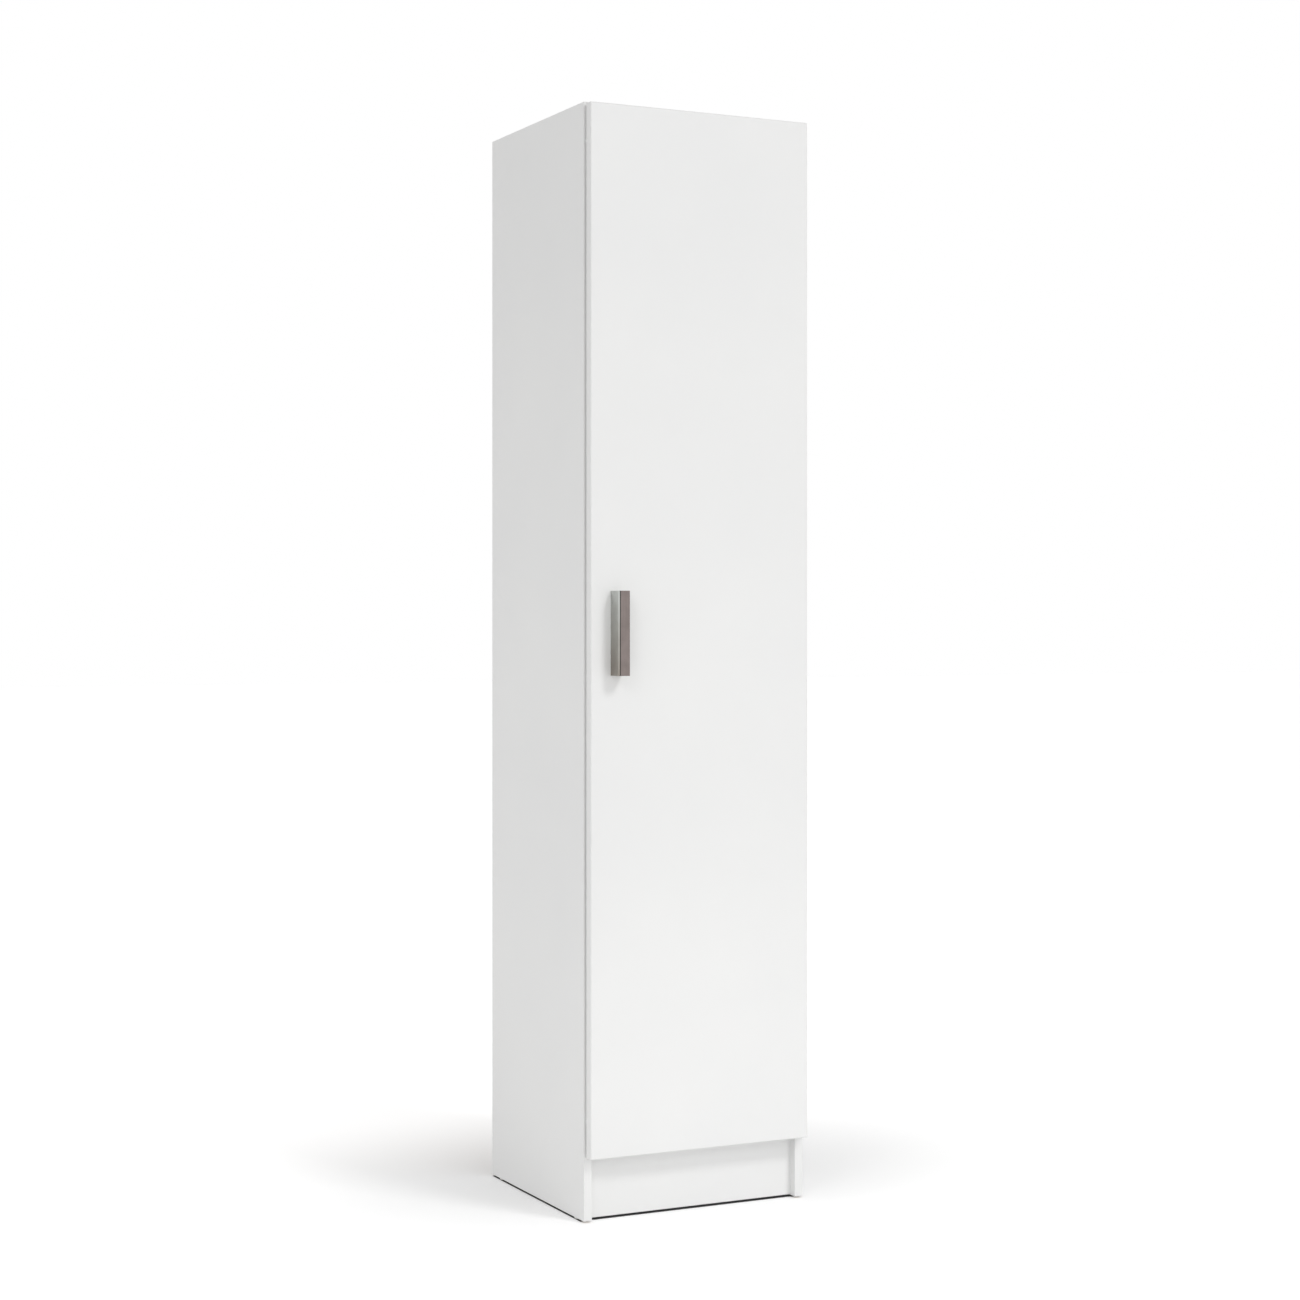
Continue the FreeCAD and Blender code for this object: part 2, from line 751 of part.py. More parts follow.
def pull_handle():
    """A cast channel: front wall with a bevelled arris and a groove, left wall, two end walls."""
    profile = flat_face([
        Vector(handle_left, door_front, handle_low),
        Vector(handle_left, handle_face + handle_bevel, handle_low),
        Vector(handle_left + handle_bevel, handle_face, handle_low),
        Vector(handle_left + handle_bevel, handle_face + handle_groove, handle_low),
        Vector(handle_left + handle_bevel + handle_groove, handle_face, handle_low),
        Vector(handle_right, handle_face, handle_low),
        Vector(handle_right, door_front, handle_low),
    ])
    body = profile.extrude(UP * handle_length)
    right_arris = edges_along(body, UP, lambda c: c.x > handle_right - pick and c.y < handle_face + pick)
    body = body.makeFillet(handle_round, right_arris)
    pocket = block((handle_left + handle_side_wall, handle_right + handle_width),
                   (handle_face + handle_front_wall, door_front + handle_projection),
                   (handle_low + handle_end_wall, handle_high - handle_end_wall))
    corners = edges_along(pocket, ACROSS, lambda c: c.y < door_front)
    body = body.cut(pocket.makeFillet(handle_pocket_round, corners))
    return body.cut(handle_screws)


# ---------------------------------------------------------------- door
def door_panel():
    """The door board, its arrises broken, bored for the cups and the screws."""
    solid = block((-door_half, door_half), (door_front, door_back), (door_bottom, door_top))
    solid = solid.makeChamfer(arris, solid.Edges)
    cup_bore = at_each_hinge(rod, Vector(cup_x, door_gap, 0), FORWARD, cup_depth + cup_bore_play,
                             cup_radius)
    return solid.cut(cup_bore + cup_screws + handle_screws + strike_screws)


# ---------------------------------------------------------------- carcass nodes
save("left_side", side_panel(-1))
save("right_side", side_panel(1))
save("top_panel", top_panel)
save("base_panel", base_panel)
save("fixed_shelf", fixed_shelf)
save("plinth", plinth)
save("back_panel", back_panel)
save("cam_locks", cams)
save("cam_bolts", bolts)
save("wooden_dowels", dowels)
save("cam_caps", caps)
save("floor_glides", [glide(hand, y) for hand in LEFT_AND_RIGHT for y in glide_places])
save("door_bumpers", [bumper(door_bottom + bumper_margin), bumper(door_top - bumper_margin)])
save("wall_bracket_left", wall_bracket(-1))
save("wall_bracket_right", wall_bracket(1))
save("wall_bracket_screws", [bracket_screw(hand) for hand in LEFT_AND_RIGHT])

# Plate and arm of each hinge stay with the carcass, its cup and pin go with the door.
for name, frame in hinge_frames.items():
    save("hinge_plate_" + name, placed(hinge_plate(), frame))
    save("hinge_arm_" + name, placed(hinge_arm(), frame))
save("hinge_plate_screws", plate_screws)
save("hinge_clamp_screws", at_each_hinge(clamp_screw))
save("hinge_adjusting_screws", at_each_hinge(adjusting_screw))
save("catch_housing", catch_housing())
save("catch_poles", catch_poles())
save("catch_screws", [catch_screw(end) for end in LOW_AND_HIGH])

# ---------------------------------------------------------------- door nodes
hinge_pins = at_each_hinge(hinge_pin)
save("door_panel", door_panel())
save("hinge_cups", at_each_hinge(hinge_cup))
save("hinge_pins", hinge_pins)
save("hinge_cup_screws", cup_screws)
save("strike_plate", strike_plate())
save("strike_screws", strike_screws)
save("pull_handle", pull_handle())
save("handle_screws", handle_screws)

print("hinge axis", hinge_pins[0].CenterOfMass)
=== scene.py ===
# %% [markdown]
# A broom cupboard in white melamine board
#
# The construction of this cupboard is already solved elsewhere: boards, joints, hinges and the
# door's swing come in as a fixed frame. What is left for Blender is the finish of each surface and
# the small smooth pieces, such as screw heads. Loading the frame first means that nothing here has
# to be fitted by eye: every place is read from the frame.

# %% Load the frame
import bpy
import bmesh
import json
import math
from mathutils import Matrix, Vector

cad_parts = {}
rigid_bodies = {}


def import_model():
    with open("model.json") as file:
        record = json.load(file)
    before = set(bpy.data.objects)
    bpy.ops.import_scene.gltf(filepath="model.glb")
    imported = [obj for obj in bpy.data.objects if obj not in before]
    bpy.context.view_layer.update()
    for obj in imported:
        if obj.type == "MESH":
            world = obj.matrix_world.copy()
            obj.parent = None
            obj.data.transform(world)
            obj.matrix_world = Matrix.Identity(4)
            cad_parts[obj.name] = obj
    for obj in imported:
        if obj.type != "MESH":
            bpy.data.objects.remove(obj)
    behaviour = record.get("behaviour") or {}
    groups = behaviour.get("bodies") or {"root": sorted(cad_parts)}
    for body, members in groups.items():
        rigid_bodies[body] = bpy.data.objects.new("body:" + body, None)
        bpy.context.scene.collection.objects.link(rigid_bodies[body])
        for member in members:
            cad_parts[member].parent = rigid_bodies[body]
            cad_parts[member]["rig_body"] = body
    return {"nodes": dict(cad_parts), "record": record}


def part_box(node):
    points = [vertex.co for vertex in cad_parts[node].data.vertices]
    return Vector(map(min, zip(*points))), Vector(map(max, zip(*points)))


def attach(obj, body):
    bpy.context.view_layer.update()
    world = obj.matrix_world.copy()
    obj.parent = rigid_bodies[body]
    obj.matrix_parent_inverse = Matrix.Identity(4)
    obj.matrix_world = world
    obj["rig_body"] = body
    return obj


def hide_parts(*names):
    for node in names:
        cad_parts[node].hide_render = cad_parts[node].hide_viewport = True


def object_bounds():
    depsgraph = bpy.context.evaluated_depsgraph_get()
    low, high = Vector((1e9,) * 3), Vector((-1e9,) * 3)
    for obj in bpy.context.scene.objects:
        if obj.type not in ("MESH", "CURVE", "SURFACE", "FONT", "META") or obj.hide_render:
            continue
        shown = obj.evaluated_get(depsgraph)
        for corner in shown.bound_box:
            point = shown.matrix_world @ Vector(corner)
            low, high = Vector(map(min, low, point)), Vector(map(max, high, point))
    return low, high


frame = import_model()
cad_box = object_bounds()
print("nodes:", len(frame["nodes"]), "box:", [[round(v, 4) for v in corner] for corner in cad_box])

# %% [markdown]
# The camera
#
# The cupboard is seen from a little to the left of its front, with all uprights parallel. A real
# photographer gets that by keeping the camera level and shifting the lens instead of tilting it,
# and Blender's camera has the same shift. The lens is a short telephoto, so the far edge is only a
# little shorter than the near one.

# %% Camera
camera_place = (-1.8745, -3.7856, 0.9764)
camera_turn = math.radians(26.32)
lens_mm = 68.83
lens_shift = -0.027
sensor_mm = 36
farthest_seen = 60

camera = bpy.data.objects.new("camera", bpy.data.cameras.new("camera"))
bpy.context.scene.collection.objects.link(camera)
camera.location = camera_place
camera.rotation_euler = (math.radians(90), 0, -camera_turn)
camera.data.sensor_width = sensor_mm
camera.data.lens = lens_mm
camera.data.shift_y = lens_shift
camera.data.clip_end = farthest_seen
bpy.context.scene.camera = camera
print("camera", lens_mm, "mm, turned", round(math.degrees(camera_turn), 1), "degrees")

# %% [markdown]
# Writing materials in code
#
# A material in Blender is a small network of nodes. The first helper adds a node and fills or links
# its inputs, and the others are the few steps that every finish here is made of. A step takes
# sockets and plain numbers alike, so the steps can be written one inside the other.

# %% Helpers for nodes


def add(tree, kind, inputs=None, **settings):
    """A new node. An input given as a socket is linked, any other value is set on it."""
    made = tree.nodes.new(kind)
    for name, value in settings.items():
        setattr(made, name, value)
    for name, value in (inputs or {}).items():
        if isinstance(value, bpy.types.NodeSocket):
            tree.links.new(value, made.inputs[name])
        else:
            made.inputs[name].default_value = value
    return made


def reckon(tree, operation, first, second=0.0, third=0.0):
    """One step of arithmetic."""
    values = {0: first, 1: second, 2: third}
    return add(tree, "ShaderNodeMath", values, operation=operation).outputs[0]


def product(tree, first, second):
    """The first times the second, which works as "and" for values of 0 and 1."""
    return reckon(tree, "MULTIPLY", first, second)


def larger(tree, first, second):
    """The larger of two, which works as "or" for values of 0 and 1."""
    return reckon(tree, "MAXIMUM", first, second)


def mix(tree, share, first, second):
    """A colour that goes from the first to the second as share goes from 0 to 1."""
    made = add(tree, "ShaderNodeMix", {0: share, 6: first, 7: second}, data_type="RGBA")
    return made.outputs[2]


def axes_of(tree, where):
    """The X, Y and Z of a point, each as a socket."""
    return add(tree, "ShaderNodeSeparateXYZ", {0: where}).outputs


print("node helpers ready")

# %% [markdown]
# Patterns and surfaces
#
# Every pattern here starts from noise. Spread to its full range it gives clouds, with different
# scales along the axes it gives fibres and brushing, and as a height it gives relief. All of it is
# laid out in the piece's own frame, so that a pattern stays on the door while the door swings.

# %% Helpers for patterns and surfaces
noise_low = 0.3
noise_high = 0.7


def noise(tree, where, per_metre, detail=2.0, rough=0.5):
    """Cloudy noise from 0 to 1; per_metre counts its clouds in a metre."""
    made = add(tree, "ShaderNodeTexNoise",
               {"Vector": where, "Scale": per_metre, "Detail": detail, "Roughness": rough})
    return made.outputs["Fac"]


def stretched(tree, where, per_metre):
    """The same point with each axis scaled, which draws a pattern out along the small ones."""
    made = add(tree, "ShaderNodeVectorMath", {0: where, 1: per_metre}, operation="MULTIPLY")
    return made.outputs[0]


def streaks(tree, where, per_metre, detail, rough):
    """Noise drawn out into fibres; per_metre counts them along X, Y and Z."""
    return noise(tree, stretched(tree, where, per_metre), 1.0, detail, rough)


def spread(tree, value, low=0.0, high=1.0):
    """Takes the middle of a noise, where most of it lies, to the range low to high."""
    made = add(tree, "ShaderNodeMapRange", {"Value": value, "From Min": noise_low,
                                            "From Max": noise_high, "To Min": low, "To Max": high})
    return made.outputs["Result"]


def two_noises(tree, first, second, share):
    """A share of the first noise and the rest of the second, spread from 0 to 1."""
    rest = product(tree, second, 1 - share)
    return spread(tree, reckon(tree, "MULTIPLY_ADD", first, share, rest))


def start_finish(name):
    """An empty material: its tree, its shader, and the piece's own point and surface direction."""
    material = bpy.data.materials.new(name)
    material.use_nodes = True
    tree = material.node_tree
    shader = tree.nodes["Principled BSDF"]
    places = add(tree, "ShaderNodeTexCoord")
    return material, tree, shader, places.outputs["Object"], places.outputs["Normal"]


def lay_on(tree, shader, colour, rough):
    """Gives the shader its colour and its roughness."""
    tree.links.new(colour, shader.inputs["Base Color"])
    tree.links.new(rough, shader.inputs["Roughness"])


def relief(tree, shader, height, depth, strength=1.0):
    """Bumps of a depth in metres from a height that runs from 0 to 1."""
    made = add(tree, "ShaderNodeBump", {"Height": height, "Distance": depth, "Strength": strength})
    tree.links.new(made.outputs["Normal"], shader.inputs["Normal"])


print("pattern helpers ready, noise is spread from", noise_low, "to", noise_high)

# %% [markdown]
# The surround
#
# The cupboard stands in a studio with no visible horizon, so whatever lies behind it is pure white.
# A surround that lit the boards as strongly as it looks would wash out every shadow. Blender's
# light path tells the two apart: the world is white for the camera and for reflections, and dimmer
# for all other light.

# %% World
pure_white = (1, 1, 1, 1)
ambient_level = 0.55


def seen_directly(tree):
    """1 for the camera, for a glossy reflection and through clear material; 0 for other light."""
    path = add(tree, "ShaderNodeLightPath").outputs
    seen = larger(tree, path["Is Camera Ray"], path["Is Glossy Ray"])
    return larger(tree, seen, path["Is Transmission Ray"])


world = bpy.data.worlds.new("studio")
world.use_nodes = True
bpy.context.scene.world = world
bpy.context.scene.view_settings.view_transform = "Standard"
tree = world.node_tree
level = add(tree, "ShaderNodeMapRange",
            {"Value": seen_directly(tree), "To Min": ambient_level, "To Max": 1.0})
background = tree.nodes["Background"]
background.inputs["Color"].default_value = pure_white
tree.links.new(level.outputs["Result"], background.inputs["Strength"])
print("ambient light", ambient_level)

# %% [markdown]
# The floor
#
# A plain white floor would render grey where little light reaches it, so the floor is given a
# little glow that only the camera and reflections see. The glow is weak round the foot of the
# cupboard and full a little further off, so it paints shade round the foot on top of the soft
# shadow there, the far floor is pure white, and no extra light falls on the boards. Right under the
# plinth and the sides, except right under the sides' front edges, there is no glow and the floor's
# colour is painted dark as painted shade, so the thin gap that the glides leave reads as a dark
# line.

# %% Floor
floor_half = 30.0
floor_colour = (0.90, 0.90, 0.90, 1)
# painted shade: the floor's colour under the sides and the plinth
floor_painted_shade = (0.12, 0.12, 0.12, 1)
floor_rough = 0.9
# the glow rises from near the cupboard to far off, which paints shade round its foot
glow_near = 0.080
glow_far = 0.475
glow_middle = (0.045, 0.089, 0)
glow_reach = (1.137, 0.728, 1.0)
# how far behind a side's front edge the painted shade and the lack of glow begin
glow_kept_under_front = 0.013


def in_span(tree, value, low, high):
    """1 where a value lies between two levels."""
    return reckon(tree, "COMPARE", value, (low + high) / 2, (high - low) / 2)


def under_boards(tree, where):
    """1 on the floor under the plinth and the sides, but not right under their front edges."""
    across, ahead, _ = axes_of(tree, where)
    off_middle = reckon(tree, "ABSOLUTE", across)
    side_low, side_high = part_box("right_side")
    plinth_low, plinth_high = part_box("plinth")
    below_side = product(tree, in_span(tree, off_middle, side_low[0], side_high[0]),
                         in_span(tree, ahead, side_low[1] + glow_kept_under_front, side_high[1]))
    below_plinth = product(tree, reckon(tree, "LESS_THAN", off_middle, side_low[0]),
                           in_span(tree, ahead, plinth_low[1], plinth_high[1]))
    return larger(tree, below_side, below_plinth)


def floor_white():
    """White, with a glow that grows away from the cupboard; under its boards no glow and a colour
    painted dark as painted shade.
    """
    material, tree, shader, where, _ = start_finish("floor_white")
    painted_shade_mask = under_boards(tree, where)
    # painted shade: a dark floor colour under the boards
    tree.links.new(mix(tree, painted_shade_mask, floor_colour, floor_painted_shade), shader.inputs["Base Color"])
    shader.inputs["Roughness"].default_value = floor_rough
    shader.inputs["Emission Color"].default_value = pure_white
    away = add(tree, "ShaderNodeVectorMath", {0: where, 1: glow_middle}, operation="SUBTRACT")
    away = add(tree, "ShaderNodeVectorMath", {0: away.outputs[0], 1: glow_reach},
               operation="DIVIDE")
    away = add(tree, "ShaderNodeVectorMath", {0: away.outputs[0]}, operation="LENGTH")
    glow = add(tree, "ShaderNodeMapRange",
               {"Value": away.outputs["Value"], "To Min": glow_near, "To Max": glow_far},
               interpolation_type="SMOOTHSTEP")
    glow = product(tree, glow.outputs["Result"], reckon(tree, "SUBTRACT", 1.0, painted_shade_mask))
    tree.links.new(product(tree, seen_directly(tree), glow), shader.inputs["Emission Strength"])
    return material


floor_mesh = bpy.data.meshes.new("floor")
floor_corners = [(-floor_half, -floor_half, 0), (floor_half, -floor_half, 0),
                 (floor_half, floor_half, 0), (-floor_half, floor_half, 0)]
floor_mesh.from_pydata(floor_corners, [], [(0, 1, 2, 3)])
floor = bpy.data.objects.new("floor", floor_mesh)
bpy.context.scene.collection.objects.link(floor)
floor_mesh.materials.append(floor_white())
print("floor", 2 * floor_half, "m wide")

# %% [markdown]
# Lamps
#
# The door is a little brighter than the side, the pull throws a soft shadow to its lower left, and
# the door shades the top of the plinth. So the key is a large soft box in front, to the right and
# high up. Alone it would leave the lower half dull. A box in front at mid height lifts the door and
# still comes from above the plinth, so it keeps the shadow there, and a weak strip on the floor and
# a low box on the left fill from below, as light from a white floor does. A weak high box on the
# left rounds off the side. The key is large, because every shadow here has a wide soft rim, and
# the camera doesn't see any of the boxes. The three fills stand in for light from floor and walls,
# which has no outline, so they are kept out of reflections too: mirrored in a side board at a
# shallow angle they would burn a white patch into it.

# %% Lamps
cupboard_middle = (0, 0, cad_box[1].z / 2)
cupboard_foot = (0, 0, 0)
knee_height = (0, 0, 0.4)
floor_on_left = (-0.6, -0.6, 0)
straight_over_floor = (0.1, 0, 0.03)


def soft_box(name, place, wide, high, power, aim=cupboard_middle, mirrored=True):
    """An area lamp turned towards a point; unless it is mirrored, reflections leave it out."""
    lamp = bpy.data.lights.new(name, "AREA")
    lamp.shape = "RECTANGLE"
    lamp.size = wide
    lamp.size_y = high
    lamp.energy = power
    box = bpy.data.objects.new(name, lamp)
    box.location = place
    towards = Vector(aim) - Vector(place)
    box.rotation_euler = towards.to_track_quat("-Z", "Y").to_euler()
    box.visible_camera = False
    box.visible_glossy = mirrored
    bpy.context.scene.collection.objects.link(box)
    print(name, power, "W at", place)


soft_box("key_box", (1.8, -4.2, 4.8), wide=1.3, high=1.3, power=94)
soft_box("front_box", (0.3, -1.8, 1.0), wide=1.6, high=0.3, power=3.05,
         aim=cupboard_foot, mirrored=False)
soft_box("floor_strip", (0.1, -0.8, 0.03), wide=1.4, high=0.03, power=0.67,
         aim=straight_over_floor, mirrored=False)
soft_box("low_left_box", (-2.6, 0.2, 0.3), wide=1.4, high=0.5, power=7.6,
         aim=knee_height, mirrored=False)
soft_box("high_left_box", (-2.2, -2.2, 2.6), wide=1.0, high=1.0, power=9.8, aim=floor_on_left)

# %% [markdown]
# Which edge of a board is which
#
# The boards are chipboard pressed between two sheets of white melamine paper, cut to size and
# banded with white plastic on the edges that show. So the finish changes from edge to edge, and an
# edge is best named by the direction it looks to, such as -Y for the front. From that name and the
# board's own box, two helpers find the surface of an edge and the hair line where its band meets
# the faces.

# %% Edges by their direction
edge_facing = 0.9
band_thickness = 0.0008
band_line_half = 0.00009


def axis_and_sign(side):
    """The axis, as 0, 1 or 2, and the sign, as 1 or -1, of a direction such as +Y."""
    return "XYZ".index(side[1]), 1 if side[0] == "+" else -1


def direction_of(side):
    """The vector of length 1 along a direction such as +Y."""
    axis, sign = axis_and_sign(side)
    return [sign if index == axis else 0 for index in range(3)]


def facing_share(tree, facing, side):
    """1 where the surface faces a direction such as +Y, and 0 elsewhere."""
    along = add(tree, "ShaderNodeVectorMath", {0: facing, 1: direction_of(side)},
                operation="DOT_PRODUCT")
    return reckon(tree, "GREATER_THAN", along.outputs["Value"], edge_facing)


def band_line(tree, where, node, side):
    """1 on the hair line between the band on one edge and the faces beside it."""
    axis, sign = axis_and_sign(side)
    low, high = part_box(node)
    level = (high if sign > 0 else low)[axis] - sign * band_thickness
    return reckon(tree, "COMPARE", axes_of(tree, where)[axis], level, band_line_half)


def any_of(tree, values):
    """1 where one of several values is 1, and 0 if there are none."""
    result = 0.0
    for value in values:
        result = larger(tree, result, value)
    return result


print("front edge looks to", direction_of("-Y"))

# %% [markdown]
# White melamine board
#
# Three things tell melamine from a flat white: a fine pearl texture in the paper, the hair line at
# each band, and bare chipboard on the edges nobody sees. All three depend only on where a point
# lies on its board and which way the surface faces, so one function makes the finish of every
# board.

# %% Melamine finish
melamine_white = (0.86, 0.86, 0.852, 1)
melamine_shade = (0.835, 0.836, 0.832, 1)
melamine_clouds = 3.0
melamine_pearls = 1400.0
melamine_rough = (0.34, 0.46)
pearl_height = 0.12
board_relief = 0.00012
band_line_colour = (0.62, 0.62, 0.61, 1)
band_line_share = 0.6
chip_dark = (0.30, 0.19, 0.10, 1)
chip_light = (0.66, 0.50, 0.32, 1)
chips_per_metre = (420, 420, 900)
chip_rough = 0.85


def chipboard(tree, where):
    """Colour and height of pressed wood chips."""
    chips = add(tree, "ShaderNodeTexVoronoi", {"Vector": stretched(tree, where, chips_per_metre),
                                               "Scale": 1.0, "Randomness": 1.0})
    grey = add(tree, "ShaderNodeSeparateColor", {0: chips.outputs["Color"]}).outputs[0]
    return mix(tree, grey, chip_dark, chip_light), chips.outputs["Distance"]


def melamine(node, banded, raw):
    """The finish of one board: edges in banded have a band, those in raw are bare chipboard."""
    material, tree, shader, where, facing = start_finish("melamine_" + node)
    clouds = spread(tree, noise(tree, where, melamine_clouds))
    pearl = noise(tree, where, melamine_pearls, detail=3.0, rough=0.6)
    white = mix(tree, clouds, melamine_white, melamine_shade)
    line = any_of(tree, [band_line(tree, where, node, side) for side in banded])
    white = mix(tree, product(tree, line, band_line_share), white, band_line_colour)
    bare = any_of(tree, [facing_share(tree, facing, side) for side in raw])
    chip_colour, chip_height = chipboard(tree, where)
    rough = larger(tree, spread(tree, pearl, *melamine_rough), product(tree, bare, chip_rough))
    lay_on(tree, shader, mix(tree, bare, white, chip_colour), rough)
    height = reckon(tree, "SUBTRACT", product(tree, pearl, pearl_height), line)
    height = reckon(tree, "ADD", height, product(tree, bare, chip_height))
    relief(tree, shader, height, board_relief)
    return material


def dress(node, material):
    """Gives a node of the frame one finish all over."""
    slots = frame["nodes"][node].data.materials
    slots.clear()
    slots.append(material)


upright_edges = (["-Y", "+Z"], ["+Y", "-Z"])
level_edges = (["-Y"], ["+Y", "-X", "+X"])
board_edges = {
    "left_side": upright_edges,
    "right_side": upright_edges,
    "top_panel": level_edges,
    "base_panel": level_edges,
    "fixed_shelf": level_edges,
    "plinth": (["-Z"], ["+Z", "-X", "+X"]),
    "door_panel": (["-X", "+X", "-Z", "+Z"], []),
}
for node, (banded, raw) in board_edges.items():
    dress(node, melamine(node, banded, raw))
print("melamine boards:", len(board_edges))

# %% [markdown]
# Hardboard back
#
# The back is a thin hardboard sheet, lacquered white on the side that faces into the cupboard and
# bare on the side that faces the wall. The bare side is warm brown with short darker fibres, which
# a noise with different scales along the axes gives well enough at any distance.

# %% Hardboard finish
hardboard_white = (0.80, 0.80, 0.79, 1)
fibre_dark = (0.20, 0.105, 0.05, 1)
fibre_light = (0.37, 0.215, 0.11, 1)
fibres_per_metre = (90, 900, 700)
fibre_share = 0.8
hardboard_clouds = 9.0
hardboard_rough = (0.72, 0.86)
lacquer_smoother = 0.3
fibre_relief = 0.00015
fibre_relief_share = 0.6


def hardboard():
    """Brown fibres towards the wall, white lacquer inside the cupboard."""
    material, tree, shader, where, facing = start_finish("hardboard_back")
    fibres = streaks(tree, where, fibres_per_metre, detail=4.0, rough=0.7)
    clouds = noise(tree, where, hardboard_clouds, detail=3.0)
    brown = mix(tree, two_noises(tree, fibres, clouds, fibre_share), fibre_dark, fibre_light)
    front = facing_share(tree, facing, "-Y")
    rough = reckon(tree, "SUBTRACT", spread(tree, fibres, *hardboard_rough),
                   product(tree, front, lacquer_smoother))
    lay_on(tree, shader, mix(tree, front, brown, hardboard_white), rough)
    relief(tree, shader, fibres, fibre_relief, fibre_relief_share)
    return material


dress("back_panel", hardboard())
print("back finished white inside, brown outside")

# %% [markdown]
# Metals
#
# Four of the metals share one recipe: the hinges are nickel-plated steel, the screws and wall
# angles are zinc plate, the cams are cast zinc, and the poles of the catch are bare ground steel.
# Each is a metallic base colour with fine grain, and a roughness that varies with it. The grain is
# stretched along an axis where the metal was ground that way.

# %% Metal finishes
zinc_dark = (0.40, 0.41, 0.42, 1)
zinc_light = (0.56, 0.57, 0.58, 1)
hinge_dark = (0.50, 0.49, 0.47, 1)
hinge_light = (0.60, 0.59, 0.565, 1)
steel_dark = (0.20, 0.20, 0.205, 1)
steel_light = (0.33, 0.33, 0.335, 1)
cast_dark = (0.36, 0.36, 0.37, 1)
cast_light = (0.52, 0.52, 0.53, 1)
metal_stains = 60.0
grain_share = 0.75
metal_relief_share = 0.5


def metal(name, dark, light, grain_per_metre, rough, depth):
    """A metal; its grain runs along an axis whose number in grain_per_metre is small."""
    material, tree, shader, where, _ = start_finish(name)
    grain = streaks(tree, where, grain_per_metre, detail=5.0, rough=0.65)
    stain = noise(tree, where, metal_stains)
    colour = mix(tree, two_noises(tree, grain, stain, grain_share), dark, light)
    lay_on(tree, shader, colour, spread(tree, grain, *rough))
    shader.inputs["Metallic"].default_value = 1.0
    relief(tree, shader, grain, depth, metal_relief_share)
    return material


hinge_nickel = metal("hinge_nickel", hinge_dark, hinge_light,
                     grain_per_metre=(900, 900, 900), rough=(0.27, 0.35), depth=0.000004)
zinc_plate = metal("zinc_plate", zinc_dark, zinc_light,
                   grain_per_metre=(500, 500, 500), rough=(0.24, 0.40), depth=0.00001)
cast_zinc = metal("cast_zinc", cast_dark, cast_light,
                  grain_per_metre=(900, 900, 900), rough=(0.45, 0.62), depth=0.00004)
ground_steel = metal("ground_steel", steel_dark, steel_light,
                     grain_per_metre=(2000, 2000, 40), rough=(0.30, 0.45), depth=0.00001)
print("metals:", hinge_nickel.name, zinc_plate.name, cast_zinc.name, ground_steel.name)

# %% [markdown]
# The brushed pull
#
# The pull is a hollow bar in dark nickel. Its front is brushed lengthwise after plating, which
# leaves long fine streaks; its warm brown cast, darker than the sides of the same metal, is a
# painted reflection. The sides and the bevel keep the paler satin of the plating, painted lighter
# at the top and darker and warmer towards the bottom. Beside the bevel runs a fine groove painted
# dark as painted shade. The finish is therefore chosen by the direction that the surface faces, by
# height on the sides and, for the groove, by the distance from the pull's edge.

# %% Finish of the pull
# painted reflection: the front's two tones are darker and browner than the sides; the brushing
# streaks run between them
front_dark_painted_reflection = (0.190, 0.161, 0.152, 1)
front_light_painted_reflection = (0.290, 0.246, 0.233, 1)
# painted light and shade: the sides go from the lighter colour at the top to the darker one at the
# bottom
satin_painted_light_top = (0.520, 0.535, 0.515, 1)
satin_painted_shade_bottom = (0.310, 0.282, 0.250, 1)
satin_wander = 0.5
brushing_per_metre = (2400, 2400, 22)
brushing_share = 0.6
pull_stains = 45.0
pull_rough = (0.26, 0.42)
pull_relief = 0.00003
pull_relief_share = 0.5
# painted shade in the groove beside the bevel
groove_painted_shade = (0.045, 0.044, 0.042, 1)
groove_middle = 0.0028
groove_half = 0.0007
groove_deep = 0.0014
pull_low, pull_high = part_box("pull_handle")


def brushed_pull():
    """Brushed in front with a painted dark reflection, satin at the sides with painted light and
    shade by height, painted shade in the groove beside the bevel.
    """
    material, tree, shader, where, facing = start_finish("brushed_nickel")
    brushing = streaks(tree, where, brushing_per_metre, detail=5.0, rough=0.65)
    stain = noise(tree, where, pull_stains)
    front = mix(tree, two_noises(tree, brushing, stain, brushing_share), front_dark_painted_reflection, front_light_painted_reflection)
    across, ahead, up = axes_of(tree, where)
    rise = add(tree, "ShaderNodeMapRange",
               {"Value": up, "From Min": pull_low[2], "From Max": pull_high[2]}).outputs["Result"]
    rise = reckon(tree, "SUBTRACT", rise, satin_wander / 2)
    rise = reckon(tree, "MULTIPLY_ADD", stain, satin_wander, rise)
    satin = mix(tree, rise, satin_painted_shade_bottom, satin_painted_light_top)
    colour = mix(tree, facing_share(tree, facing, "-Y"), satin, front)
    beside = reckon(tree, "COMPARE", across, pull_low[0] + groove_middle, groove_half)
    near_face = reckon(tree, "LESS_THAN", ahead, pull_low[1] + groove_deep)
    groove = product(tree, beside, near_face)
    colour = mix(tree, groove, colour, groove_painted_shade)
    lay_on(tree, shader, colour, spread(tree, brushing, *pull_rough))
    shader.inputs["Metallic"].default_value = 1.0
    relief(tree, shader, brushing, pull_relief, pull_relief_share)
    return material


brushed_nickel = brushed_pull()
print("pull", [round(1000 * (high - low), 1) for low, high in zip(pull_low, pull_high)], "mm")

# %% [markdown]
# Plastics and beech
#
# The caps, the glides and the catch are white moulded plastic with the fine matt grain that a
# sparked mould leaves. The bumpers are clear soft dots that look milky on white board. The dowels
# are hidden when the cupboard stands, but they still get their beech grain.

